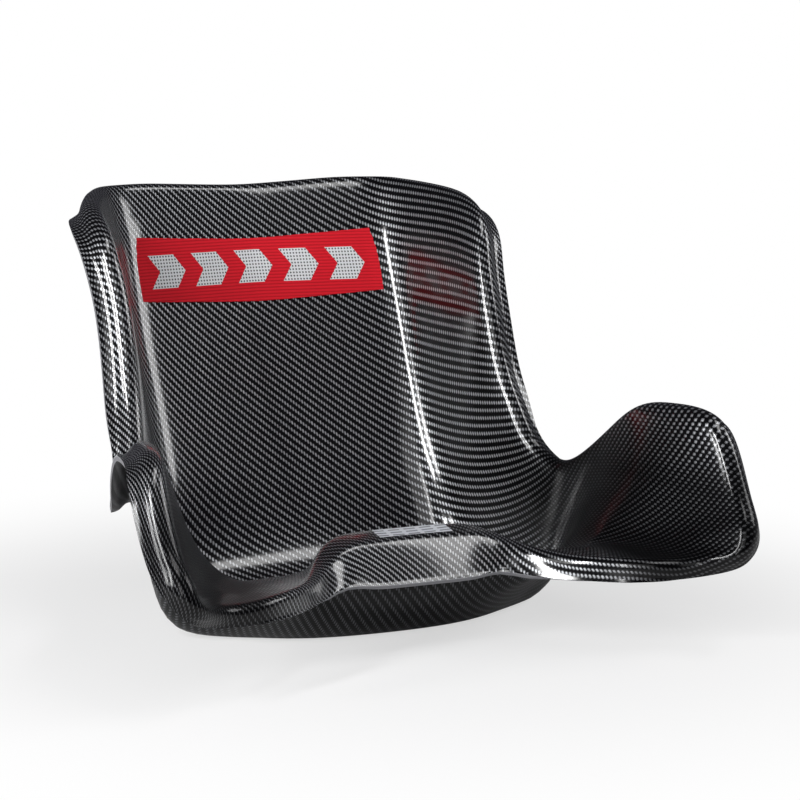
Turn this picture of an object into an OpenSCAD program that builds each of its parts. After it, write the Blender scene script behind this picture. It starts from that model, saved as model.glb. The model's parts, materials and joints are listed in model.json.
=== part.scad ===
// Kart bucket seat: a one-piece laminated shell with a rolled and flared rim.
// Millimetres, +Z up. The sitter looks along -Y, so +X is the sitter's left-hand side.
// The origin is the centre of the flat land under the belly, on which the seat stands.
// The moulded inside face is a grid of rows (front edge to back top) and columns (across).
// Each layer of the laminate is that face with its rolled rim, moved along its normals.

/* [Pan] */
// Depth of the pan on the centreline, from the front roll line to the foot of the back
pan_length = 209; // [190:1:240]
// Height of the front roll line at the middle, above the inside of the floor
front_height = 78; // [68:1:90]
// How far the floor starts behind the front roll line, before rounding
ramp_run = 13; // [8:1:25]
// Radius between front ramp and floor, along the centreline
ramp_radius = 36; // [25:1:45]
// Radius between floor and back, along the centreline
heel_radius = 72; // [55:1:90]
// Rise of the middle of the front edge over its plain line
hump_height = 22; // [12:1:30]
// How far the middle of the hump is set back, to give its flat top
hump_setback = 26; // [10:1:30]
// Half width of the flat top of the front hump
hump_top = 55; // [45:1:62]
// Half width of the front hump at its foot
hump_foot = 122; // [105:1:132]
// Height of the nearly level front of the two thigh troughs, above the inside of the floor
trough_height = 70; // [64:1:76]
// How far the front corners of the belly are set back, which rounds it in plan
belly_setback = 28; // [20:1:34]
// How far the front of the thigh troughs is drawn ahead of the plain front edge
trough_reach = 43; // [34:1:48]

/* [Back] */
// Height of the roll line of the back, above the inside of the floor
back_height = 316; // [285:1:380]
// Lean of the back from the vertical
back_lean = 26.4; // [18:0.2:32]
// Angle by which each half of the back turns towards the sitter
vee_angle = 8; // [3:0.5:12]
// Half width of the rounded crease down the middle of the back
crease_half = 15; // [8:1:30]
// Half width of the back between the two folds into the wings
back_half = 124; // [118:1:130]

/* [Sides] */
// Half width at the roll line of the back wings, where they are narrowest
wing_half = 153; // [146:1:165]
// Half width at the roll line of the shoulders
shoulder_half = 161; // [154:1:172]
// Half width at the roll line where the side is lowest
waist_half = 173; // [167:1:184]
// Half width at the roll line of the thigh wings
thigh_half = 219; // [210:1:235]
// Half width of the floor at the thighs, before rounding
floor_half = 145; // [134:1:156]
// Height of the roll line on top of the thigh wings, above the inside of the floor
thigh_height = 166; // [145:1:190]
// Height of the roll line at the waist, above the inside of the floor
waist_height = 97; // [87:1:108]
// Height of the front corners, above the inside of the floor
corner_height = 77; // [68:1:88]
// How far the front corners stand ahead of the middle of the front edge
corner_reach = 130; // [110:1:145]
// How far the roll line of the back wings stands ahead of the back, square to it
wing_depth = 110; // [98:1:122]

/* [Rim] */
// Inside radius of the roll along the edge
roll_radius = 9; // [7.5:0.5:12]
// Angle through which the sides and the top are rolled
roll_turn = 132; // [118:1:140]
// Width of the straight part after the roll
roll_run = 2; // [1:0.5:6]
// Angle through which the lip flares out again
lip_turn = 58; // [30:1:70]
// Radius of the valley between roll and lip
lip_radius = 6; // [5:0.5:9]
// Width of the straight outer part of the lip
lip_width = 6; // [3:0.5:9]
// Depth of the flat top of the front hump, where the label lies
hump_flat = 19; // [8:1:26]
// Slope by which that flat top falls to the front
hump_slope = 8; // [2:1:12]
// Width of the sloping face of the front hump
face_width = 33; // [16:1:38]
// Slope of that face from the level
face_slope = 47; // [40:1:60]
// Width of the steep face in front of the thigh troughs
trough_face = 9; // [5:0.5:14]
// Slope of the steep face in front of the thigh troughs, from the level
trough_slope = 85; // [75:1:95]
// Inside radius of the edge between trough and steep face
trough_radius = 5; // [3:0.5:9]
// Inside radius of the roll round the front corners
corner_radius = 7; // [5:0.5:10]
// Inside radius of the roll along the thigh wings
wing_radius = 12; // [9:0.5:14]

/* [Laminate] */
// Thickness of the whole wall
wall = 4; // [3:0.1:5]
// Thickness of the twill ply that shows on the inside
ply = 0.5; // [0.3:0.05:0.8]
// Greatest thickness of a mounting pad, laid up between the ply and the laminate
pad_depth = 1.2; // [0.6:0.1:1.6]
// Diameter of a mounting pad
pad_size = 84; // [70:1:100]
// Way of the front pads from the front roll line, along the centreline
front_pad_way = 140; // [125:1:160]
// Way of the front pads from the centreline, across the inside face
front_pad_across = 161; // [152:1:168]
// Way of the rear pads from the front roll line, along the centreline
rear_pad_way = 335; // [320:1:350]
// Way of the rear pads from the centreline, across the inside face
rear_pad_across = 178; // [172:1:184]

/* [Badge and label] */
// Width of the badge on the back
badge_width = 224; // [150:1:224]
// Height of the badge
badge_height = 58; // [30:1:70]
// Distance from the roll line of the back down to the badge
badge_drop = 45; // [30:1:80]
// Thickness of the badge
badge_thick = 0.6; // [0.3:0.1:1]
// Width of the label behind the front hump
label_width = 60; // [30:1:70]
// Depth of the label, front to back
label_depth = 16; // [10:1:18]
// How far the label lies off the centreline, towards the sitter's left
label_shift = 5; // [0:1:10]
// Thickness of the label
label_thick = 0.2; // [0.1:0.05:0.4]

/* [Hidden] */

rows = 44;         // cells from the front edge to the top of the back
half_columns = 14; // cells from the centreline to the side
columns = 2 * half_columns;
arc_steps = 8;     // chords in a rounded corner of the centreline
bend_steps = 16;   // chords in the bend of a cross-section
roll_steps = 3;    // chords in the first part of the roll, up to the top of the rim
fall_steps = 2;    // chords in the second part of the roll
roll_split = 0.6;  // share of the roll in its first part, away from the hump
corner_turn = 95;  // angle through which the front corners are rolled
valley_steps = 2;  // chords in the valley before the lip
badge_cells = [22, 6];
label_cells = [6, 2];
hump_columns = 4;  // columns on each side of the middle that hold the flat top of the hump
glue = 0.3;        // room between a stuck-on piece and the ply
thinnest = 0.05;   // depth under which a pad's tapered edge is left out

// The front edge, in millimetres across from the middle or from the foot of the hump
flat_half = 60;    // half width of the part of the hump with its full flat top
flat_foot = 105;   // half width at which the flat top has run out
face_half = 45;    // half width of the part of the hump's face with its full slope
face_foot = 125;   // half width at which that face is as steep as the one of the trough
steep_half = 135;  // half width of the front edge with its steep face
steep_foot = 190;  // half width at which the corner's plain roll takes over
trough_start = 65; // where the thigh trough begins to reach forward
trough_grow = 58;  // width in which it comes to its full reach
trough_end = 140;  // where it begins to fall back to the corner
trough_fade = 70;  // width in which it does so

// Shares of the centreline
hump_fade = 0.13;  // the hump has died away by here
hump_bias = 1.5;   // above 1, it dies away faster at the front than at the end
reach_fade = 0.04; // the reach of the troughs has died away by here
reach_bias = 1.3;  // as for the hump
level_fade = [0.018, 0.066]; // the troughs are level up to the first, and gone by the second
belly_grow = 0.09;           // the rounding of the belly is full from here
belly_fade = [0.12, 0.27];   // up to the first of these, and gone by the second
vee_start = 0.4;   // the two halves of the back begin to turn
vee_grow = 0.16;   // they have turned fully so much further on
tangent_step = 0.01;

// Places and widths along the rows, from 0 at the front to 1 at the top
corner_rows = 0.09;  // the rim of the front corners has changed to that of the sides by here
wing_rows = 0.4;     // and that of the thigh wings here
waist_middle = 0.52;
waist_spread = 0.05; // half the length over which the lip of the waist is narrowest
waist_fade = 0.11;   // length over which it then widens

// The lip: shares by which it flares or reaches less than on the sides and the top
front_flare = 0.85;
waist_flare = 0.3;
narrow_lip = 0.5;
face_bias = 3;     // above 1, the face of the hump narrows faster near its middle

// ---- small helpers -------------------------------------------------------------------

function unit(v) = v / norm(v);
function clamp(x) = min(max(x, 0), 1);
function ease(x) = let (c = clamp(x)) c * c * (3 - 2 * c);
function mix(a, b, w) = a + (b - a) * w;
function flatten(lists) = [for (list = lists) for (item = list) item];

// Running length along a list of points, one value for each point
function run_lengths(points) = [
  for (i = 0, sum = 0; i < len(points);
       i = i + 1, sum = i < len(points) ? sum + norm(points[i] - points[i - 1]) : sum)
  sum
];

// A path as one table of [length, value] for each coordinate, to be read with lookup()
function path_tables(points) =
  let (way = run_lengths(points))
  [
    for (axis = [0:len(points[0]) - 1])
    [for (i = [0:len(points) - 1]) [way[i], points[i][axis]]]
  ];
function path_point(tables, way) = [for (table = tables) lookup(way, table)];
function path_length(tables) = tables[0][len(tables[0]) - 1][0];

// A smooth curve through keys of the form [place, value, ...]
function key_span(keys, place, i = 0) =
  i >= len(keys) - 2 || place < keys[i + 1][0] ? i : key_span(keys, place, i + 1);
function key_slope(keys, i) =
  let (before = keys[max(i - 1, 0)], after = keys[min(i + 1, len(keys) - 1)])
  (after - before) / (after[0] - before[0]);
function key_values(keys, place) =
  let (
    i = key_span(keys, place),
    width = keys[i + 1][0] - keys[i][0],
    s = (place - keys[i][0]) / width,
    value = keys[i] * (2 * pow(s, 3) - 3 * s * s + 1)
      + keys[i + 1] * (3 * s * s - 2 * pow(s, 3))
      + key_slope(keys, i) * width * (pow(s, 3) - 2 * s * s + s)
      + key_slope(keys, i + 1) * width * (pow(s, 3) - s * s)
  )
  [for (n = [1:len(value) - 1]) value[n]];

// Points of the arc that rounds the corner b between a and c
function rounded(a, b, c, radius) =
  let (
    to_a = unit(a - b),
    to_c = unit(c - b),
    half = acos(to_a * to_c) / 2,
    centre = b + unit(to_a + to_c) * radius / sin(half),
    spoke = b + to_a * radius / tan(half) - centre,
    sweep = 180 - 2 * half
  )
  [
    for (k = [0:arc_steps])
    let (turn = sweep * k / arc_steps)
    centre + spoke * cos(turn) - to_a * radius * sin(turn)
  ];

// ---- the centreline -------------------------------------------------------------------

// Side view as [y, z], with the land under the belly at z = 0
floor_z = wall;
back_up = [sin(back_lean), cos(back_lean)];
back_ahead = [-cos(back_lean), sin(back_lean)];
back_run = back_height / cos(back_lean);

// The flat land lies between the two rounded corners of the floor
ramp_slope = atan2(front_height - hump_height, ramp_run);
land_start = ramp_run + ramp_radius * tan(ramp_slope / 2);
land_end = pan_length - heel_radius * tan((90 - back_lean) / 2);
front_y = -(land_start + land_end) / 2;

front_top = [front_y, floor_z + front_height - hump_height];
ramp_foot = [front_y + ramp_run, floor_z];
heel = [front_y + pan_length, floor_z];
back_top = heel + back_up * back_run;

base_path = path_tables(concat(
  [front_top],
  rounded(front_top, ramp_foot, heel, ramp_radius),
  rounded(ramp_foot, heel, back_top, heel_radius),
  [back_top]
));
base_length = path_length(base_path);

// ---- the rows and their cross-sections ------------------------------------------------

// Where a row starts on the centreline, as [row place, share of the centreline]
base_keys = [
  [0, 0], [0.045, 0.015], [0.1, 0.033], [0.15, 0.048], [0.2, 0.062], [0.24, 0.075],
  [0.29, 0.092], [0.35, 0.115], [0.4, 0.14], [0.44, 0.17], [0.48, 0.215], [0.53, 0.306],
  [0.58, 0.394], [0.63, 0.475], [0.69, 0.57], [0.76, 0.69], [0.83, 0.79], [0.9, 0.885],
  [0.95, 0.945], [1, 1]
];

// A key of the roll line: beside the pan, so far behind the front and above the floor
function by_pan(place, behind, above, half_width) =
  [place, front_y + behind, floor_z + above, half_width];

// A key of the roll line: beside the back, so far up from its foot and ahead of it
function by_back(place, up, ahead, half_width) =
  let (point = heel + back_up * up + back_ahead * ahead)
  [place, point.x, point.y, half_width];

// Heights between corner and thigh wing, and between waist and thigh wing
function front_rise(w) = mix(corner_height, thigh_height, w);
function rear_rise(w) = mix(waist_height, thigh_height, w);

// The roll line along the side, as [row place, y, z, half width]
side_keys = [
  by_pan(0, 3 - corner_reach, corner_height - 2, thigh_half - 12),
  by_pan(0.023, 1 - corner_reach, corner_height + 2, thigh_half - 8),
  by_pan(0.045, 2 - corner_reach, corner_height + 8, thigh_half - 5),
  by_pan(0.068, 6 - corner_reach, front_rise(0.19), thigh_half - 4),
  by_pan(0.1, 17 - corner_reach, front_rise(0.3), thigh_half - 2),
  by_pan(0.125, 27 - corner_reach, front_rise(0.43), thigh_half - 1),
  by_pan(0.16, 41 - corner_reach, front_rise(0.67), thigh_half),
  by_pan(0.2, 55 - corner_reach, front_rise(0.9), thigh_half - 1),
  by_pan(0.24, 70 - corner_reach, thigh_height, thigh_half - 5),
  by_pan(0.29, 102 - corner_reach, thigh_height + 1, thigh_half - 12),
  by_pan(0.35, pan_length - 193, rear_rise(0.92), thigh_half - 20),
  by_pan(0.4, pan_length - 157, rear_rise(0.52), mix(waist_half, thigh_half, 0.42)),
  by_pan(0.44, pan_length - 128, rear_rise(0.18), mix(waist_half, thigh_half, 0.26)),
  by_pan(0.48, pan_length - 103, waist_height + 1, mix(waist_half, thigh_half, 0.13)),
  by_pan(0.53, pan_length - 78, waist_height + 9, mix(wing_half, waist_half, 0.85)),
  by_pan(0.58, pan_length - 62, rear_rise(0.36), mix(wing_half, waist_half, 0.5)),
  by_pan(0.63, pan_length - 51, rear_rise(0.64), mix(wing_half, waist_half, 0.3)),
  by_back(0.69, 139, wing_depth - 5, mix(wing_half, waist_half, 0.1)),
  by_back(0.76, back_run - 165, wing_depth - 1, wing_half),
  by_back(0.83, back_run - 123, wing_depth + 1, mix(wing_half, shoulder_half, 0.1)),
  by_back(0.9, back_run - 78, wing_depth, shoulder_half - 2),
  by_back(0.95, back_run - 44, wing_depth - 24, shoulder_half - 3),
  by_back(1, back_run - 13, wing_depth - 69, shoulder_half - 19)
];

// Cross-sections, as [row place, half width of the flat part, share of it cut by the bend]
section_keys = [
  [0, floor_half - 15, 1], [0.1, floor_half - 8, 0.95], [0.2, floor_half - 6, 0.9],
  [0.29, floor_half - 4, 0.88], [0.37, floor_half + 5, 0.6], [0.44, floor_half + 19, 0.29],
  [0.53, floor_half + 8, 0.31], [0.63, back_half + 2, 0.22], [0.83, back_half, 0.09],
  [1, back_half, 0.3]
];

// Half a cross-section from the centreline to the roll line, as [x, way towards the side]
function section_path(flat, bend, half_width, reach) =
  let (
    corner = [flat, 0],
    side = [half_width, reach],
    cut = min(bend, 1) * min(flat, norm(side - corner)),
    from = corner - [cut, 0],
    to = corner + unit(side - corner) * cut
  )
  path_tables(concat(
    [[0, 0]],
    [
      for (k = [0:bend_steps])
      let (s = k / bend_steps)
      from * (1 - s) * (1 - s) + corner * 2 * s * (1 - s) + to * s * s
    ],
    [side]
  ));

// Set-back and rise of the front edge over its plain line, at x from the middle
function front_shape(x) =
  [hump_setback, hump_height] * (1 - ease((x - hump_top) / (hump_foot - hump_top)));

// Share of a thigh trough, at x from the middle
function trough_share(x) =
  ease((x - trough_start) / trough_grow) * (1 - ease((x - trough_end) / trough_fade));

// Everything that a row shares: its start, direction, reach, cross-section and relief
function row_data(place) =
  let (
    share = clamp(key_values(base_keys, place)[0]),
    base = path_point(base_path, share * base_length),
    near = path_point(base_path, (share - tangent_step) * base_length),
    far = path_point(base_path, (share + tangent_step) * base_length),
    along = unit(far - near),
    key = key_values(side_keys, place),
    side = [key[0], key[1]],
    form = key_values(section_keys, place),
    reach = norm(side - base)
  )
  [
    base,
    unit(side - base),
    reach,
    section_path(form[0], form[1], key[2], reach),
    [-along.y, along.x] * tan(vee_angle) * ease((share - vee_start) / vee_grow),
    pow(max(0, 1 - share / hump_fade), hump_bias),
    pow(max(0, 1 - share / reach_fade), reach_bias),
    1 - ease((share - level_fade[0]) / (level_fade[1] - level_fade[0])),
    ease(share / belly_grow) * (1 - ease((share - belly_fade[0]) / (belly_fade[1] - belly_fade[0])))
  ];

// A point of the inside face, so far across a row from the centreline
function row_point(row, across) =
  let (
    half = path_point(row[3], abs(across)),
    low = 1 - clamp(half.y / row[2]),
    vee = (norm([half.x, crease_half]) - crease_half) * low,
    belly = [belly_setback * pow(min(half.x / floor_half, 1), 2) * low, 0],
    plain = row[0] + row[1] * half.y + row[4] * vee + front_shape(half.x) * row[5]
      + belly * row[8],
    trough = [-trough_reach * row[6], (floor_z + trough_height - plain.y) * row[7]],
    side_view = plain + trough * trough_share(half.x)
  )
  [sign(across) * half.x, side_view.x, side_view.y];
function row_width(row) = path_length(row[3]);

row_list = [for (i = [0:rows]) row_data(i / rows)];
face = [
  for (row = row_list)
  [for (j = [-half_columns:half_columns]) row_point(row, row_width(row) * j / half_columns)]
];

// The row place that starts so far along the centreline
place_table = [
  for (k = [0:100])
  [clamp(key_values(base_keys, k / 100)[0]) * base_length, k / 100]
];
function place_at(way) = lookup(way, place_table);

// Normals of a grid of points, away from the sitter
function grid_normals(grid) =
  let (last_i = len(grid) - 1, last_j = len(grid[0]) - 1)
  [
    for (i = [0:last_i])
    [
      for (j = [0:last_j])
      unit(cross(
        grid[min(i + 1, last_i)][j] - grid[max(i - 1, 0)][j],
        grid[i][min(j + 1, last_j)] - grid[i][max(j - 1, 0)]
      ))
    ]
  ];
face_normals = grid_normals(face);

// ---- the rim --------------------------------------------------------------------------

// The border of the face as [row, column], once round
border = concat(
  [for (j = [0:columns]) [0, j]],
  [for (i = [1:rows]) [i, columns]],
  [for (j = [columns - 1:-1:0]) [rows, j]],
  [for (i = [rows - 1:-1:1]) [i, 0]]
);
border_count = len(border);
border_points = [for (at = border) face[at[0]][at[1]]];

function round_average(list) = [
  for (m = [0:len(list) - 1])
  unit(list[m] * 2 + list[(m + 1) % len(list)] + list[(m + len(list) - 1) % len(list)])
];
function settled(list) = round_average(round_average(list));

// Share of a point of the front edge, from full at one half width to nothing at another
function front_share(m, from, to) =
  m > columns ? 0 : 1 - ease((abs(border_points[m].x) - from) / (to - from));
flat_shares = [for (m = [0:border_count - 1]) front_share(m, flat_half, flat_foot)];

// The middle of the front edge keeps one straight frame, so that the face of the hump is even
border_normals = settled([
  for (m = [0:border_count - 1])
  let (at = border[m])
  mix(face_normals[at[0]][at[1]], [0, -sin(ramp_slope), -cos(ramp_slope)], flat_shares[m])
]);
border_tangents = settled([
  for (m = [0:border_count - 1])
  let (
    back = border_points[m] - border_points[(m + border_count - 1) % border_count],
    on = border_points[(m + 1) % border_count] - border_points[m]
  )
  mix(unit(unit(back) * norm(on) + unit(on) * norm(back)), [1, 0, 0], flat_shares[m])
]);
border_outward = [
  for (m = [0:border_count - 1]) unit(cross(border_normals[m], border_tangents[m]))
];

// Share of a border point in the rows at the front, and in those at the waist
function start_share(m, reach) = 1 - ease(border[m][0] / rows / reach);
function waist_share(m) =
  1 - ease((abs(border[m][0] / rows - waist_middle) - waist_spread) / waist_fade);

// Steps of the rim's profile as [heading, length]: the roll in two parts, its run and the lip.
// A heading is the angle away from the outward direction, and level is where it points level.
function rim_steps(m) =
  let (
    brow = front_share(m, face_half, face_foot),
    front = front_share(m, steep_half, steep_foot),
    corner = start_share(m, corner_rows),
    wing = start_share(m, wing_rows),
    narrow = max(wing, waist_share(m)),
    level = asin(border_outward[m].z),
    steep = mix(trough_slope, face_slope, brow),
    turn = mix(roll_turn, mix(corner_turn, level + steep, front), corner),
    top = mix(turn * roll_split, level + hump_slope, flat_shares[m]),
    side_radius = mix(mix(roll_radius, wing_radius, wing), corner_radius, corner),
    radius = mix(side_radius, mix(trough_radius, roll_radius, brow), front),
    flare = lip_turn * (1 - front_flare * wing) * (1 - waist_flare * waist_share(m))
  )
  concat(
    arc_chords(0, top, radius, roll_steps),
    [[top, mix(1, hump_flat, flat_shares[m])]],
    arc_chords(top, turn, radius, fall_steps),
    [[turn, mix(roll_run, mix(trough_face, face_width, pow(brow, face_bias)), front)]],
    arc_chords(turn, turn - flare, lip_radius, valley_steps),
    [[turn - flare, lip_width * (1 - narrow_lip * narrow)]]
  );

// An arc between two headings as chords of the form [heading, length]; the end keeps its heading
function arc_chords(from, to, radius, count) = [
  for (k = [1:count])
  let (bit = (to - from) / count)
  [from + bit * k, 2 * radius * sin(abs(bit) / 2), bit / 2]
];

// The profile as [outward, away, heading] for each ring, the border itself left out
function rim_profile(m) =
  let (steps = rim_steps(m))
  [
    for (k = 0, at = [0, 0]; k <= len(steps);
         at = k < len(steps) ? at + steps[k][1] * chord_heading(steps[k]) : at,
         k = k + 1)
    if (k > 0) [at[0], at[1], steps[k - 1][0]]
  ];
function chord_heading(step) =
  let (angle = step[0] - (len(step) > 2 ? step[2] : 0))
  [cos(angle), sin(angle)];
ring_count = roll_steps + fall_steps + valley_steps + 3;
profiles = [for (m = [0:border_count - 1]) rim_profile(m)];

// A point of ring k beside border point m, moved by a depth into the wall
function ring_point(k, m, depth = 0) =
  let (
    step = profiles[m][k],
    out = step[0] - depth * sin(step[2]),
    away = step[1] + depth * cos(step[2])
  )
  border_points[m] + border_outward[m] * out + border_normals[m] * away;

// ---- layers of the laminate -----------------------------------------------------------

// Points of the layer at a depth under the inside face; extra depth belongs to the pads
function layer_points(depth, extra) = concat(
  [
    for (i = [0:rows])
    for (j = [0:columns])
    face[i][j] + face_normals[i][j] * (depth + (extra ? pad_table[i][j] : 0))
  ],
  [
    for (k = [0:ring_count - 1])
    for (m = [0:border_count - 1])
    ring_point(k, m, depth)
  ]
);

grid_count = (rows + 1) * (columns + 1);
layer_count = grid_count + ring_count * border_count;
function grid_index(i, j) = i * (columns + 1) + j;
function ring_index(k, m) =
  let (turn = m % border_count)
  k < 0 ? grid_index(border[turn][0], border[turn][1]) : grid_count + k * border_count + turn;

// Two triangles of a four-cornered cell, with the same diagonals on both halves of the seat
function cell(a, b, c, d, mirrored) = mirrored ? [[a, d, b], [b, d, c]] : [[a, c, b], [a, d, c]];
function mesh_cells(row_cells, column_cells) = flatten([
  for (i = [0:row_cells - 1])
  for (j = [0:column_cells - 1])
  let (a = i * (column_cells + 1) + j, c = a + column_cells + 2)
  cell(a, a + 1, c, c - 1, j < column_cells / 2)
]);
layer_faces = concat(
  mesh_cells(rows, columns),
  flatten([
    for (k = [-1:ring_count - 2])
    for (m = [0:border_count - 1])
    cell(
      ring_index(k, m), ring_index(k + 1, m), ring_index(k + 1, m + 1), ring_index(k, m + 1),
      m < columns / 2 || m >= columns + rows + columns / 2
    )
  ])
);
edge_faces = flatten([
  for (m = [0:border_count - 1])
  let (a = ring_index(ring_count - 1, m), b = ring_index(ring_count - 1, m + 1))
  cell(a, a + layer_count, b + layer_count, b, false)
]);
function turned(faces, shift) = [for (f = faces) [f[0] + shift, f[2] + shift, f[1] + shift]];

// The solid between two depths
module layer(from, to, padded) {
  polyhedron(
    concat(layer_points(from, padded), layer_points(to, false)),
    concat(layer_faces, turned(layer_faces, layer_count), edge_faces)
  );
}

// ---- the mounting pads ----------------------------------------------------------------

function pad_middle(way, across) = row_point(row_data(place_at(way)), across);
pad_places = [
  [front_pad_way, front_pad_across], [front_pad_way, -front_pad_across],
  [rear_pad_way, rear_pad_across], [rear_pad_way, -rear_pad_across]
];
pad_middles = [for (at = pad_places) pad_middle(at[0], at[1])];

// Thickness of a pad at a point: full in the middle, tapering to nothing
function pad_at(middle, point) =
  let (depth = pad_depth * ease(2 - 4 * norm(point - middle) / pad_size))
  depth < thinnest ? 0 : depth;
pad_tables = [
  for (middle = pad_middles)
  [for (i = [0:rows]) [for (j = [0:columns]) pad_at(middle, face[i][j])]]
];
pad_table = [
  for (i = [0:rows])
  [for (j = [0:columns]) max([for (table = pad_tables) table[i][j]])]
];

module mounting_pad(number) {
  depths = flatten(pad_tables[number]);
  grid_points = flatten(face);
  grid_out = flatten(face_normals);
  tops = [for (n = [0:grid_count - 1]) grid_points[n] + grid_out[n] * ply];
  bottoms = [for (n = [0:grid_count - 1]) tops[n] + grid_out[n] * depths[n]];
  used = [
    for (f = mesh_cells(rows, columns))
    if (depths[f[0]] + depths[f[1]] + depths[f[2]] > 0) f
  ];
  // a corner without depth belongs to both faces
  lower = [for (f = used) [for (n = [f[0], f[2], f[1]]) depths[n] > 0 ? n + grid_count : n]];
  polyhedron(concat(tops, bottoms), concat(used, lower));
}

// ---- badge and label ------------------------------------------------------------------

// A point of a row on the straight line between two columns, as the ply is meshed
function between_columns(row, across) =
  let (step = row_width(row) / half_columns, column = floor(across / step))
  mix(
    row_point(row, column * step), row_point(row, (column + 1) * step), across / step - column
  );

// A patch of the inside face between two ways along the centreline, as a grid of points
function patch(from_way, to_way, width, cells) = [
  for (i = [0:cells[1]])
  let (row = row_data(place_at(mix(from_way, to_way, i / cells[1]))))
  [for (j = [0:cells[0]]) between_columns(row, width * (j / cells[0] - 0.5))]
];

// A patch in the middle of the flat top of the hump, which lies between two rings of the rim,
// as a grid of points
function hump_patch(width, depth, cells) =
  let (
    middle = half_columns,
    rings = [roll_steps - 1, roll_steps],
    near = [for (m = [middle - hump_columns:middle + hump_columns]) ring_point(rings[0], m)],
    far = [for (m = [middle - hump_columns:middle + hump_columns]) ring_point(rings[1], m)]
  )
  [
    for (i = [0:cells[1]])
    let (share = (1 + depth / hump_flat) / 2 - depth / hump_flat * i / cells[1])
    [
      for (j = [0:cells[0]])
      let (x = label_shift + width * (j / cells[0] - 0.5))
      mix(point_across(near, x), point_across(far, x), share)
    ]
  ];

// The point at x on the straight lines between points that run across the seat
function point_across(points, x) =
  [x, lookup(x, [for (p = points) [p.x, p.y]]), lookup(x, [for (p = points) [p.x, p.z]])];

// A thin sheet stuck on a patch, on the sitter's side of the ply
module sheet(points, thickness) {
  row_cells = len(points) - 1;
  column_cells = len(points[0]) - 1;
  out = flatten(grid_normals(points));
  flat = flatten(points);
  count = len(flat);
  cells = mesh_cells(row_cells, column_cells);
  edge = concat(
    [for (j = [0:column_cells]) j],
    [for (i = [1:row_cells]) i * (column_cells + 1) + column_cells],
    [for (j = [column_cells - 1:-1:0]) row_cells * (column_cells + 1) + j],
    [for (i = [row_cells - 1:-1:1]) i * (column_cells + 1)]
  );
  sides = flatten([
    for (m = [0:len(edge) - 1])
    let (a = edge[m], b = edge[(m + 1) % len(edge)])
    cell(a, a + count, b + count, b, false)
  ]);
  polyhedron(
    concat(
      [for (n = [0:count - 1]) flat[n] - out[n] * (glue + thickness)],
      [for (n = [0:count - 1]) flat[n] - out[n] * glue]
    ),
    concat(cells, turned(cells, count), sides)
  );
}

// ---- the pieces -----------------------------------------------------------------------

module structural_laminate() { color("#1c1c1e") layer(ply, wall, true); }
module inner_twill_ply() { color("#2a2b2e") layer(0, ply, false); }
module front_left_mounting_pad() { color("#3b3b36") mounting_pad(0); }
module front_right_mounting_pad() { color("#3b3b36") mounting_pad(1); }
module rear_left_mounting_pad() { color("#3b3b36") mounting_pad(2); }
module rear_right_mounting_pad() { color("#3b3b36") mounting_pad(3); }
module name_badge() {
  top = base_length - badge_drop;
  color("#d3202b") sheet(patch(top - badge_height, top, badge_width, badge_cells), badge_thick);
}
module size_label() {
  color("#e4e6ea") sheet(hump_patch(label_width, label_depth, label_cells), label_thick);
}

structural_laminate();
inner_twill_ply();
front_left_mounting_pad();
front_right_mounting_pad();
rear_left_mounting_pad();
rear_right_mounting_pad();
name_badge();
size_label();
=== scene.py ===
# %% [markdown]
# # A kart bucket seat, dressed for its picture
#
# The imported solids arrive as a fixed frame. This lesson gives them their looks: woven carbon cloth
# under a clear resin face, a printed woven badge and a film label, on a pale floor in soft light.

# %% Load the fixed frame
import json
import math

import bmesh
import bpy
import numpy as np
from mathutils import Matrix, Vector

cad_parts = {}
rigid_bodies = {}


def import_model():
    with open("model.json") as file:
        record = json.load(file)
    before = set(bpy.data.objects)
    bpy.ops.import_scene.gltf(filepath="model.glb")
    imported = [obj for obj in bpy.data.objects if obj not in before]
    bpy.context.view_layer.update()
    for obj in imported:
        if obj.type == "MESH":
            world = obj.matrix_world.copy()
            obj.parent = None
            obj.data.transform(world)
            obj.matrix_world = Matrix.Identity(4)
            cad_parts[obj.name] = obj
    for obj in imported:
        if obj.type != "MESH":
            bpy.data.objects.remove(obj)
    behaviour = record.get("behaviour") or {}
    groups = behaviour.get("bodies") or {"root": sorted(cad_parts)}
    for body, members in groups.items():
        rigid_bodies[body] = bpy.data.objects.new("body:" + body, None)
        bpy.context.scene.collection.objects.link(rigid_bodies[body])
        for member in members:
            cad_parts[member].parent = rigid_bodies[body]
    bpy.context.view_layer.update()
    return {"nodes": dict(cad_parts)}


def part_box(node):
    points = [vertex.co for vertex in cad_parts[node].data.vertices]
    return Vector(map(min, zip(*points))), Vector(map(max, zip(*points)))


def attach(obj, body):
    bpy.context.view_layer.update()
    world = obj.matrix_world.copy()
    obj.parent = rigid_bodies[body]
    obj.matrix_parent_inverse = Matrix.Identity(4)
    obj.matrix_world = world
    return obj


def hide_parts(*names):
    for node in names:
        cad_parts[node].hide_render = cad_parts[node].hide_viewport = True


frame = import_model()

scene = bpy.context.scene
print("nodes:", sorted(frame["nodes"]))

# %% [markdown]
# ## Camera
#
# A long lens far away keeps the two sides of the seat alike in size. The camera stands to the
# front left, a little above the rim, and looks at a point over the pan.

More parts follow.
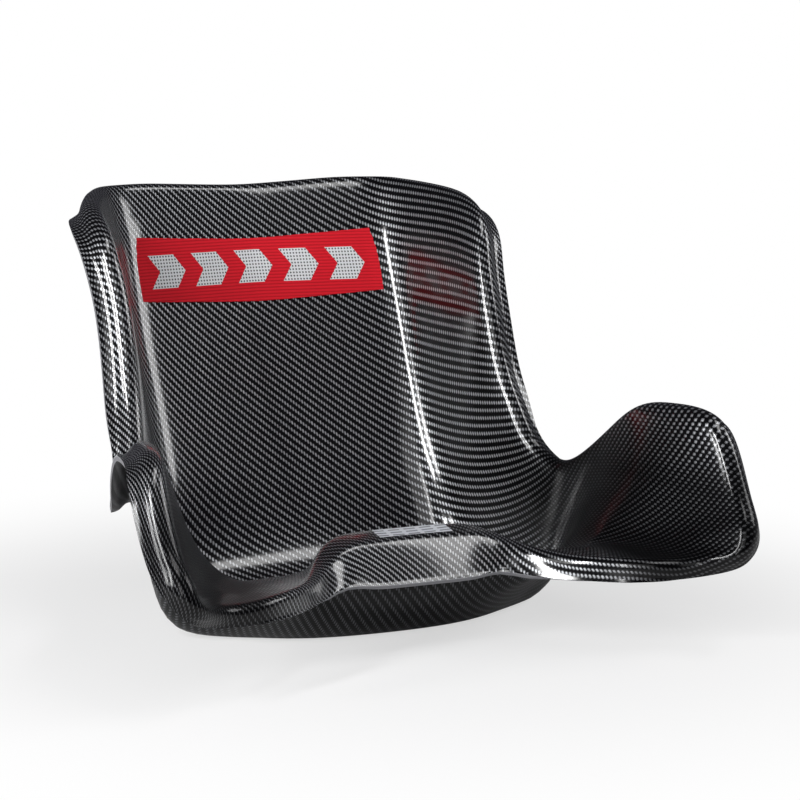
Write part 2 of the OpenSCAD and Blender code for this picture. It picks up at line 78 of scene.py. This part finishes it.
# %% Place the camera
look_at = Vector((0, -0.086, 0.188))
azimuth = math.radians(-23.5)
elevation = math.radians(9.61)
distance = 1.97
offset = Vector((math.sin(azimuth) * math.cos(elevation),
                 -math.cos(azimuth) * math.cos(elevation), math.sin(elevation)))
bpy.ops.object.camera_add(location=look_at + offset * distance)
camera = bpy.context.object
camera.rotation_euler = (-offset).to_track_quat("-Z", "Y").to_euler()
sensor = 36
focal_in_pixels = 2584
picture_in_pixels = 800
camera.data.sensor_width = sensor
camera.data.lens = sensor * focal_in_pixels / picture_in_pixels
scene.camera = camera
print("camera at", [round(c, 3) for c in camera.location], "lens", round(camera.data.lens, 1))

# %% [markdown]
# ## Helpers for shapes
#
# Operators act on everything that is selected, so each step first picks one piece alone.

# %% Pick one piece
def pick(piece):
    if bpy.context.mode != "OBJECT":
        bpy.ops.object.mode_set(mode="OBJECT")
    bpy.ops.object.select_all(action="DESELECT")
    piece.select_set(True)
    bpy.context.view_layer.objects.active = piece


def edit(piece):
    pick(piece)
    bpy.ops.object.mode_set(mode="EDIT")


def finish_with(piece, kind, **settings):
    pick(piece)
    modifier = piece.modifiers.new(kind.title(), kind)
    for name, value in settings.items():
        setattr(modifier, name, value)
    bpy.ops.object.modifier_apply(modifier=modifier.name)


# %% Choose faces in code, then switch to edit mode
def edit_faces(piece, chosen):
    pick(piece)
    mesh = piece.data
    mesh.vertices.foreach_set("select", np.zeros(len(mesh.vertices), bool))
    mesh.edges.foreach_set("select", np.zeros(len(mesh.edges), bool))
    mesh.polygons.foreach_set("select", np.asarray(chosen, bool))
    bpy.ops.object.mode_set(mode="EDIT")
    bpy.ops.mesh.select_mode(type="FACE")


def corners(mesh):
    places = np.empty(len(mesh.vertices) * 3)
    mesh.vertices.foreach_get("co", places)
    return places.reshape(-1, 3)


def edge_ends(mesh):
    ends = np.empty(len(mesh.edges) * 2, int)
    mesh.edges.foreach_get("vertices", ends)
    return ends.reshape(-1, 2)


# %% [markdown]
# ## The moulded face
#
# The real seat is laid up over a male mould, so one smooth face gives the whole shape. The solid of
# the top ply already holds that face as a grid. A copy of it is merged and opened at its rim, its
# sitter's side is kept, and its triangles become squares that a Subdivision Surface can round.

# %% Copy a solid's mesh into a new piece
merge_distance = 0.00001


def copy_solid(node, name):
    piece = bpy.data.objects.new(name, frame["nodes"][node].data.copy())
    scene.collection.objects.link(piece)
    piece.data.materials.clear()
    edit(piece)
    bpy.ops.mesh.select_all(action="SELECT")
    bpy.ops.mesh.remove_doubles(threshold=merge_distance)
    bpy.ops.object.mode_set(mode="OBJECT")
    print(name, "copied:", len(piece.data.vertices), "corners,", len(piece.data.polygons), "faces")
    return piece


# %% Keep the side of a thin solid that a chosen point lies on
thickness_slack = 0.000003


def keep_side(piece, thickness, point):
    mesh = piece.data
    places, ends = corners(mesh), edge_ends(mesh)
    spans = np.linalg.norm(places[ends[:, 0]] - places[ends[:, 1]], axis=1)
    as_thick = ends[abs(spans - thickness) < thickness_slack]
    steps = {tuple(sorted(pair)) for pair in as_thick.tolist()}
    wall = [any(tuple(sorted(key)) in steps for key in face.edge_keys) for face in mesh.polygons]
    edit_faces(piece, wall)
    bpy.ops.mesh.delete(type="FACE")
    bpy.ops.object.mode_set(mode="OBJECT")
    middles = np.array([face.center for face in mesh.polygons])
    nearest = int(np.linalg.norm(middles - np.array(point), axis=1).argmin())
    edit_faces(piece, np.arange(len(middles)) == nearest)
    bpy.ops.mesh.select_linked()
    bpy.ops.mesh.select_all(action="INVERT")
    bpy.ops.mesh.delete(type="VERT")
    bpy.ops.mesh.select_all(action="SELECT")
    bpy.ops.mesh.tris_convert_to_quads(face_threshold=math.pi, shape_threshold=math.pi,
                                       topology_influence=1)
    bpy.ops.object.mode_set(mode="OBJECT")
    sides = [len(face.vertices) for face in mesh.polygons]
    print(piece.name, "kept:", sides.count(4), "squares,", sides.count(3), "triangles")


# %% Open the top ply and keep its face
ply_depth = 0.0005
wall_depth = 0.004
floor_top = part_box("structural_laminate")[0].z + wall_depth
face = copy_solid("inner_twill_ply", "moulded_face")
keep_side(face, ply_depth, (0, 0, floor_top))

# %% [markdown]
# ## Cloth map
#
# Dry carbon cloth is pressed onto the mould, so its tows run over the whole surface as if it had
# been wrapped. Unwrapping with as little stretch as possible gives that, and the map is then
# scaled to metres, so that a tow two millimetres wide stays so.

# %% Unwrap the face and measure its map in metres
def wrap_cloth(piece, name):
    edit(piece)
    bpy.ops.mesh.select_all(action="SELECT")
    mesh = piece.data
    for old_map in list(mesh.uv_layers):
        mesh.uv_layers.remove(old_map)
    mesh.uv_layers.new(name=name)
    bpy.ops.uv.unwrap(method="MINIMUM_STRETCH", iterations=60, fill_holes=False)
    bpy.ops.object.mode_set(mode="OBJECT")
    cloth = np.empty(len(mesh.loops) * 2)
    mesh.uv_layers[name].data.foreach_get("uv", cloth)
    cloth = cloth.reshape(-1, 2)
    owners = np.empty(len(mesh.loops), int)
    mesh.loops.foreach_get("vertex_index", owners)
    flat = np.zeros((len(mesh.vertices), 2))
    flat[owners] = cloth
    places, ends = corners(mesh), edge_ends(mesh)
    solid = np.linalg.norm(places[ends[:, 0]] - places[ends[:, 1]], axis=1)
    drawn = np.linalg.norm(flat[ends[:, 0]] - flat[ends[:, 1]], axis=1)
    return flat * np.median(solid / np.maximum(drawn, 1e-9)), owners


def write_cloth(piece, name, flat, owners):
    piece.data.uv_layers[name].data.foreach_set("uv", flat[owners].ravel())


# %% Turn the map so that the warp runs up the middle of the back
flat, owners = wrap_cloth(face, "cloth")
places = corners(face.data)
spine = np.flatnonzero((abs(places[:, 0]) < 1e-4) & (places[:, 2] > 0.08) & (places[:, 1] > 0))
spine = spine[np.argsort(places[spine, 2])]
up = flat[spine[-1]] - flat[spine[0]]
up /= np.linalg.norm(up)
across = np.array([up[1], -up[0]])
right = np.flatnonzero((places[:, 0] > 0.05) & (places[:, 2] > 0.15) & (places[:, 1] > 0.05))
flat = flat - flat[spine[0]]
if (flat[right] @ across).mean() < 0:
    across = -across
flat = np.column_stack([flat @ across, flat @ up])
print("cloth measures", [round(float(c), 3) for c in np.ptp(flat, axis=0)], "metres")

# %% [markdown]
# ## Draping the cloth
#
# Cloth that is pressed into a deep mould shears: its ribs turn on the wings and draw together on
# the thigh rests. Each row below gives a place on the map, in metres, and by how much the cloth is
# pulled per metre to the side and per metre up. The rows were found by trial. A smooth surface is
# fitted to these slopes, and half of it is added to each direction of the map.

# %% Pull the map where the cloth was pulled
pulls = np.array((
    (0.00, 0.20, 0.00, 0.10), (0.00, 0.05, 0.00, 0.02), (0.00, -0.08, 0.00, 0.20),
    (0.06, 0.10, 0.02, 0.05), (0.06, 0.24, 0.02, 0.10), (0.08, 0.00, 0.00, 0.15),
    (0.17, 0.20, -0.42, 0.13), (0.19, 0.07, -0.38, 0.10), (0.19, 0.00, -0.32, 0.02),
    (0.22, 0.18, -0.15, 0.10), (0.23, 0.09, -0.12, 0.10), (0.23, 0.00, -0.20, 0.05),
    (0.24, -0.22, -0.60, -0.10), (0.27, -0.28, -0.90, 0.42), (0.28, -0.33, -0.56, 0.72),
    (0.25, -0.35, -0.24, 0.77), (0.21, -0.32, -0.23, 0.80), (0.01, -0.37, -0.15, -0.15),
    (0.08, -0.36, -0.10, -0.05), (0.10, -0.15, -0.10, 0.10)))


half_width, half_height = 0.3, 0.4


def slopes_and_values(side, up):
    s, t = np.abs(side) / half_width, up / half_height
    powers = [(i, j) for i in (0, 2, 3, 4) for j in range(5) if 0 < i + j < 6]
    value = [s ** i * t ** j for i, j in powers]
    by_side = [i * s ** max(i - 1, 0) * t ** j / half_width for i, j in powers]
    by_up = [j * s ** i * t ** max(j - 1, 0) / half_height for i, j in powers]
    return [np.stack(rows, axis=-1) for rows in (value, by_side, by_up)]


_, by_side, by_up = slopes_and_values(pulls[:, 0], pulls[:, 1])
damping = 0.05            # keeps the surface from swinging between the rows
stiffness = damping * np.eye(by_side.shape[1])
sought = np.concatenate([pulls[:, 2], pulls[:, 3], np.zeros(len(stiffness))])
weights, *_ = np.linalg.lstsq(np.vstack([by_side, by_up, stiffness]), sought, rcond=None)
pull = slopes_and_values(flat[:, 0], flat[:, 1])[0] @ weights
flat = flat + pull[:, None] / 2
write_cloth(face, "cloth", flat, owners)
print("the cloth is pulled by", round(float(np.ptp(pull)) * 1000), "mm at most")

# %% [markdown]
# ## Helpers for finishes
#
# Colours are written as on a screen and turned to the linear values that light works with.

# %% Colours and nodes
def colour(hex_code):
    shares = [int(hex_code[i:i + 2], 16) / 255 for i in (1, 3, 5)]
    linear = [s / 12.92 if s <= 0.04045 else ((s + 0.055) / 1.055) ** 2.4 for s in shares]
    return (*linear, 1)


def add(tree, kind, *inputs, **settings):
    node = tree.nodes.new("ShaderNode" + kind)
    for name, value in settings.items():
        setattr(node, name, value)
    for socket, value in zip([s for s in node.inputs if s.enabled], inputs):
        if isinstance(value, bpy.types.NodeSocket):
            tree.links.new(value, socket)
        elif value is not None:
            socket.default_value = value
    return next(s for s in node.outputs if s.enabled)


def new_finish(name, **sockets):
    finish = bpy.data.materials.new(name)
    finish.use_nodes = True
    tree = finish.node_tree
    shader = tree.nodes["Principled BSDF"]
    for socket, value in sockets.items():
        shader.inputs[socket.replace("_", " ")].default_value = value
    return finish, tree, shader


# %% [markdown]
# ## Carbon twill
#
# The cloth is a two-by-two twill of 3K carbon: each tow is about two millimetres wide, passes over
# two others and under two, and every row steps on by one, which draws the slanting ribs. A tow that
# runs up the cloth catches the light in another way than one that runs across. Here that sheen is
# painted into the colour: tows up the cloth are pale and those across dark, as painted sheen.

# %% The twill's pattern, as sockets for its height and for which tow lies on top
tow_width = 0.002


def twill(tree, tow, lean):
    place = add(tree, "UVMap", uv_map="cloth")
    grown = add(tree, "VectorMath", place, (1 / tow, 1 / tow, 1 / tow), operation="MULTIPLY")
    split = add(tree, "SeparateXYZ", grown).node
    u, v = split.outputs[0], split.outputs[1]
    column, row = (add(tree, "Math", s, operation="FLOOR") for s in (u, v))
    in_u, in_v = (add(tree, "Math", s, 1.0, operation="FLOORED_MODULO") for s in (u, v))
    step = add(tree, "Math", add(tree, "Math", column, lean, row, operation="MULTIPLY_ADD"), 4.0,
               operation="FLOORED_MODULO")
    warp_up = add(tree, "Math", step, 1.5, operation="LESS_THAN")
    in_step = add(tree, "Math", step, 2.0, operation="FLOORED_MODULO")

    def choose(warp, weft):
        return add(tree, "Mix", warp_up, weft, warp, data_type="FLOAT")

    crosswise = choose(in_u, in_v)
    lengthwise = add(tree, "Math", add(tree, "Math", in_step, choose(in_v, in_u), operation="ADD"),
                     0.5, operation="MULTIPLY")
    return {"warp_up": warp_up, "crosswise": crosswise, "lengthwise": lengthwise,
            "column": column, "row": row, "choose": choose}


def hump(tree, share, power):
    # 0 at both ends of the share and 1 in its middle
    apart = add(tree, "Math", share, 1.0, -0.5, operation="MULTIPLY_ADD")
    bent = add(tree, "Math", add(tree, "Math", apart, apart, operation="MULTIPLY"), -4.0, 1.0,
               operation="MULTIPLY_ADD")
    return add(tree, "Math", add(tree, "Math", bent, 0.0, operation="MAXIMUM"), power,
               operation="POWER")


# %% [markdown]
# ## Painted shade in the hollows beside the thighs
#
# The cloth is painted dark in the hollows beside the thighs, as painted shade: the tows fade there.
# The gloss of the clear coat is lowered there too.

# %% Share of the painted shade in the hollows, from 0 outside them to 1 in their middle
def ramp(tree, value, start, end):
    return add(tree, "MapRange", value, start, end, 0.0, 1.0, interpolation_type="SMOOTHSTEP")


def painted_hollow_shade(tree):
    split = add(tree, "SeparateXYZ", add(tree, "TexCoord").node.outputs["Object"]).node
    x, y, z = split.outputs
    share = ramp(tree, add(tree, "Math", x, operation="ABSOLUTE"), 0.12, 0.16)
    for edge in (ramp(tree, y, 0.09, 0.0), ramp(tree, z, 0.18, 0.12),
                 ramp(tree, z, 0.03, 0.06)):
        share = add(tree, "Math", share, edge, operation="MULTIPLY")
    return share


# %% Carbon twill: pale tows up the cloth as painted sheen, dark ones across it, black resin between them
gloss_lost = 0.7
tow_height = 0.00012


def carbon_twill(name, lean, pale, dark, depth, painted_shade_depth=0, **sockets):
    finish, tree, shader = new_finish(name, **sockets)
    cloth = twill(tree, tow_width, lean)
    across_tow = hump(tree, cloth["crosswise"], 2.0)
    along_tow = hump(tree, cloth["lengthwise"], 1.0)
    height = add(tree, "Math", across_tow, along_tow, operation="MULTIPLY")
    tow_number = cloth["choose"](cloth["column"], cloth["row"])
    random_tow_tone = add(tree, "TexWhiteNoise", tow_number, noise_dimensions="1D")
    random_tow_tone = add(tree, "Math", random_tow_tone, 0.4, 1.0, operation="MULTIPLY_ADD")
    # painted sheen: each tow is brightest along its middle and fades to black at its ends and sides;
    # the black also stands for the real resin between tows
    painted_sheen = add(tree, "Math", height, random_tow_tone, operation="MULTIPLY", use_clamp=True)
    # painted shade: the tows are darkened in the hollows beside the thighs, and the coat's gloss is
    # lowered there
    if painted_shade_depth:
        share = painted_hollow_shade(tree)
        painted_shade_factor = add(tree, "Math", share, -painted_shade_depth, 1.0, operation="MULTIPLY_ADD")
        painted_sheen = add(tree, "Math", painted_sheen, painted_shade_factor, operation="MULTIPLY")
        gloss = add(tree, "Math", share, -gloss_lost, 1.0, operation="MULTIPLY_ADD")
        tree.links.new(gloss, shader.inputs["Coat Weight"])
    # painted sheen: the tows up the cloth are pale, those across dark
    tone = add(tree, "Mix", cloth["warp_up"], dark, pale, data_type="RGBA")
    seen = add(tree, "Mix", painted_sheen, colour("#030304"), tone, data_type="RGBA")
    tree.links.new(seen, shader.inputs["Base Color"])
    bumped = add(tree, "Bump", 1.0, depth, None, height)
    tree.links.new(bumped, shader.inputs["Normal"])
    return finish


# the pale colours are the painted sheen of the tows up the cloth
inside_finish = carbon_twill("clear_coated_carbon_twill", 1, colour("#b8babe"), colour("#070708"),
                             tow_height, painted_shade_depth=0.85, Metallic=0.85, Roughness=0.46,
                             Specular_IOR_Level=0.1, Coat_Weight=1.0, Coat_Roughness=0.13,
                             Coat_IOR=1.6)
outside_finish = carbon_twill("bare_carbon_twill", -1, colour("#5c5d60"), colour("#0c0c0d"),
                              tow_height, Metallic=0.3, Roughness=0.5, Specular_IOR_Level=0.2,
                              Coat_Weight=0.3, Coat_Roughness=0.3, Coat_IOR=1.5)

# %% [markdown]
# ## Cut edge
#
# The rim is trimmed with a saw and sanded, so the plies show as a dull dark edge, and the clear
# resin of the top ply as a thin pale line.

# %% Cut edge
def plain_finish(name, hex_code, **sockets):
    finish, _, shader = new_finish(name, **sockets)
    shader.inputs["Base Color"].default_value = colour(hex_code)
    return finish


edge_finish = plain_finish("cut_laminate_edge", "#77777b", Roughness=0.55)
resin_line_finish = plain_finish("cut_clear_resin", "#a9aaae", Roughness=0.4)

# %% [markdown]
# ## Top ply and laminate
#
# The face is rounded by a Subdivision Surface, and Solidify gives each layer its depth. The top ply
# is the thin glossy cloth that the sitter touches, and the laminate under it carries the load.

# %% Give the face its depth, twice
def layer(name, start, depth, levels, finishes):
    piece = face.copy()
    piece.data = face.data.copy()
    piece.name = piece.data.name = name
    scene.collection.objects.link(piece)
    finish_with(piece, "SUBSURF", levels=1, render_levels=1)
    finish_with(piece, "SMOOTH", factor=0.5, iterations=3)
    if levels > 1:
        finish_with(piece, "SUBSURF", levels=levels - 1, render_levels=levels - 1)
    if start:
        mesh = piece.data
        outward = np.empty(len(mesh.vertices) * 3)
        mesh.vertices.foreach_get("normal", outward)
        mesh.vertices.foreach_set("co", (corners(mesh) - outward.reshape(-1, 3) * start).ravel())
        mesh.update()
    for finish in finishes:
        piece.data.materials.append(finish)
    finish_with(piece, "SOLIDIFY", thickness=depth, offset=-1, use_even_offset=True,
                use_rim=True, material_offset=1, material_offset_rim=2)
    pick(piece)
    bpy.ops.object.shade_smooth_by_angle(angle=math.radians(40))
    print(name, "has", len(piece.data.polygons), "faces")
    return piece


top_ply = layer("glossy_top_ply", 0, ply_depth, 2,
                [inside_finish, edge_finish, resin_line_finish])
laminate = layer("carbon_laminate", ply_depth, wall_depth - ply_depth, 1,
                 [edge_finish, outside_finish, edge_finish])
bpy.data.objects.remove(face)
for piece, node, slot in ((top_ply, "inner_twill_ply", "twill_ply"),
                          (laminate, "structural_laminate", "carbon_laminate")):
    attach(piece, "root")
    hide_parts(node)

# %% [markdown]
# ## Badge
#
# The badge is woven polyester, red, with a row of white chevrons.
# Its threads run in ribs across, and the white print is broken by small dark dots, as on a mesh.
# The red is painted darker in the grooves between the ribs, as painted shade.

# %% Woven badge with chevrons
def give(node, finish):
    mesh = frame["nodes"][node].data
    mesh.materials.clear()
    mesh.materials.append(finish)
    print(node, "wears", finish.name)


def between(tree, value, low, high):
    above = add(tree, "Math", value, low, operation="GREATER_THAN")
    return add(tree, "Math", above, add(tree, "Math", value, high, operation="LESS_THAN"),
               operation="MULTIPLY")


rib_spacing = 0.0026      # coarser than real threads, so that they show
dot_spacing = 0.0027
dot_radius = 0.00075
chevron_step = 0.041
chevron_width = 0.024
chevron_slant = 0.7
print_half_height = 0.0135
print_left, print_right = -0.09, 0.1
badge_low, badge_high = (corner.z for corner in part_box("name_badge"))
badge_middle = (badge_low + badge_high) / 2
badge_finish, tree, shader = new_finish("printed_woven_badge", Roughness=0.8,
                                        Specular_IOR_Level=0.2)
split = add(tree, "SeparateXYZ", add(tree, "TexCoord").node.outputs["Object"]).node
x, z = split.outputs[0], split.outputs[2]
rise = add(tree, "Math", z, badge_middle, operation="SUBTRACT")
steep = add(tree, "Math", add(tree, "Math", rise, operation="ABSOLUTE"), chevron_slant, x,
            operation="MULTIPLY_ADD")
turn = add(tree, "Math", add(tree, "Math", steep, -print_left, operation="ADD"), chevron_step,
           operation="FLOORED_MODULO")
stroke = add(tree, "Math", turn, chevron_width, operation="LESS_THAN")
inside = add(tree, "Math", between(tree, rise, -print_half_height, print_half_height),
             between(tree, steep, print_left, print_right), operation="MULTIPLY")
print_on = add(tree, "Math", stroke, inside, operation="MULTIPLY")
cell_x, cell_z = (add(tree, "Math", add(tree, "Math", way, dot_spacing,
                                        operation="FLOORED_MODULO"),
                      dot_spacing / 2, operation="SUBTRACT") for way in (x, rise))
from_dot = add(tree, "VectorMath", add(tree, "CombineXYZ", cell_x, 0.0, cell_z),
               operation="LENGTH").node.outputs["Value"]
dot = add(tree, "Math", from_dot, dot_radius, operation="LESS_THAN")
white = add(tree, "Mix", dot, colour("#dfe0e2"), colour("#5a5a5e"), data_type="RGBA")
# painted shade: the red is darker in the grooves between the ribs
rib = hump(tree, add(tree, "Math", add(tree, "Math", rise, 1 / rib_spacing, operation="MULTIPLY"),
                     1.0, operation="FLOORED_MODULO"), 0.6)
red = add(tree, "Mix", rib, colour("#9c0a14"), colour("#dd1a2b"), data_type="RGBA")
tree.links.new(add(tree, "Mix", print_on, red, white, data_type="RGBA"),
               shader.inputs["Base Color"])
tree.links.new(add(tree, "Bump", 0.6, 0.0002, None, rib), shader.inputs["Normal"])
give("name_badge", badge_finish)

# %% [markdown]
# ## Label
#
# A white film label lies behind the front edge. Grey rules stand in for its small print.

# %% Film label with grey rules
rule_spacing, rule_width = 0.0052, 0.0022
dash_spacing, dash_length = 0.013, 0.0095
label_margin = 0.002
label_front, label_back = (corner.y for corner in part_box("size_label"))
label_finish, tree, shader = new_finish("white_film_label", Roughness=0.35)
split = add(tree, "SeparateXYZ", add(tree, "TexCoord").node.outputs["Object"]).node
x, y = split.outputs[0], split.outputs[1]
across_rule = add(tree, "Math", add(tree, "Math", y, rule_spacing, operation="FLOORED_MODULO"),
                  rule_width, operation="LESS_THAN")
dash = add(tree, "Math", add(tree, "Math", x, dash_spacing, operation="FLOORED_MODULO"),
           dash_length, operation="LESS_THAN")
rule = add(tree, "Math", across_rule, dash, operation="MULTIPLY")
rule = add(tree, "Math", rule,
           between(tree, y, label_front + label_margin, label_back - label_margin),
           operation="MULTIPLY")
tree.links.new(add(tree, "Mix", rule, colour("#d9dce2"), colour("#7d8088"), data_type="RGBA"),
               shader.inputs["Base Color"])
give("size_label", label_finish)

# %% [markdown]
# ## Mounting pads
#
# The pads are extra layers of glass mat inside the wall. They are hidden, and have the dull
# greenish grey of glass fibre in resin.

# %% Glass mat
pad_finish, tree, shader = new_finish("glass_mat", Roughness=0.6)
place = add(tree, "TexCoord").node.outputs["Object"]
strands = add(tree, "TexNoise", place, 900.0, 3.0)
tree.links.new(add(tree, "Mix", strands, colour("#4c4d43"), colour("#8b8c7e"), data_type="RGBA"),
               shader.inputs["Base Color"])
for node in sorted(frame["nodes"]):
    if node.endswith("mounting_pad"):
        give(node, pad_finish)

# %% [markdown]
# ## Floor, light and backdrop
#
# The seat stands on a white sweep. Near the seat the floor is lit and holds its shadow, and further
# out it fades to the white of the backdrop, so that no horizon shows.

# %% Floor
bpy.ops.mesh.primitive_plane_add(size=8)
floor = bpy.context.object
floor.name = "studio_floor"
floor_finish, tree, shader = new_finish("pale_floor", Roughness=1.0, Specular_IOR_Level=0.0)
place = add(tree, "TexCoord").node.outputs["Object"]
away = add(tree, "VectorMath", place, operation="LENGTH").node.outputs["Value"]
lit_radius, white_radius, lit_share = 0.2, 0.6, 0.4
near = add(tree, "MapRange", away, lit_radius, white_radius, lit_share, 0.0,
           interpolation_type="SMOOTHSTEP")
seen_straight = add(tree, "LightPath").node.outputs["Is Camera Ray"]
far = add(tree, "Math", 1.0, near, operation="SUBTRACT")
glow = add(tree, "Math", far, seen_straight, operation="MULTIPLY")
dimmed = add(tree, "Mix", glow, colour("#f4f4f4"), (0, 0, 0, 1), data_type="RGBA")
tree.links.new(dimmed, shader.inputs["Base Color"])
tree.links.new(glow, shader.inputs["Emission Strength"])
shader.inputs["Emission Color"].default_value = (1, 1, 1, 1)
floor.data.materials.append(floor_finish)

# %% World: white to the eye, a dim cool grey as light
world = bpy.data.worlds.new("studio")
world.use_nodes = True
scene.world = world
tree = world.node_tree
path = add(tree, "LightPath").node
backdrop = tree.nodes["Background"]
tree.links.new(add(tree, "Mix", path.outputs["Is Camera Ray"], (0.042, 0.041, 0.05, 1),
                   (1, 1, 1, 1), data_type="RGBA"), backdrop.inputs["Color"])
scene.view_settings.view_transform = "Standard"


# %% Soft boxes, each placed by the direction it shines from
def soft_box(name, turn, rise, distance, width, height, power):
    # the lamp stands at that turn and rise around a point over the pan, and faces it
    turn, rise = math.radians(turn), math.radians(rise)
    aim = Vector((0, 0, 0.15))
    way = Vector((math.sin(turn) * math.cos(rise), -math.cos(turn) * math.cos(rise),
                  math.sin(rise)))
    bpy.ops.object.light_add(type="AREA", location=aim + way * distance)
    lamp = bpy.context.object
    lamp.name = name
    lamp.data.shape = "RECTANGLE"
    lamp.data.size, lamp.data.size_y = width, height
    lamp.data.energy = power
    lamp.rotation_euler = (-way).to_track_quat("-Z", "Y").to_euler()
    print(name, "stands at", [round(c, 2) for c in lamp.location])


soft_box("key_box", 50, 66, 2.6, 1.6, 0.45, 12)
soft_box("left_strip", -78, 17, 1.9, 0.3, 0.7, 13)
soft_box("left_thin_strip", -62, 27, 1.9, 0.19, 1.0, 20)
soft_box("front_left_strip", -30, 16, 2.0, 0.08, 1.0, 4)
soft_box("right_box", 76, 32, 2.6, 1.0, 0.9, 15)
soft_box("front_fill", -20, 28, 3.0, 1.6, 1.6, 8)
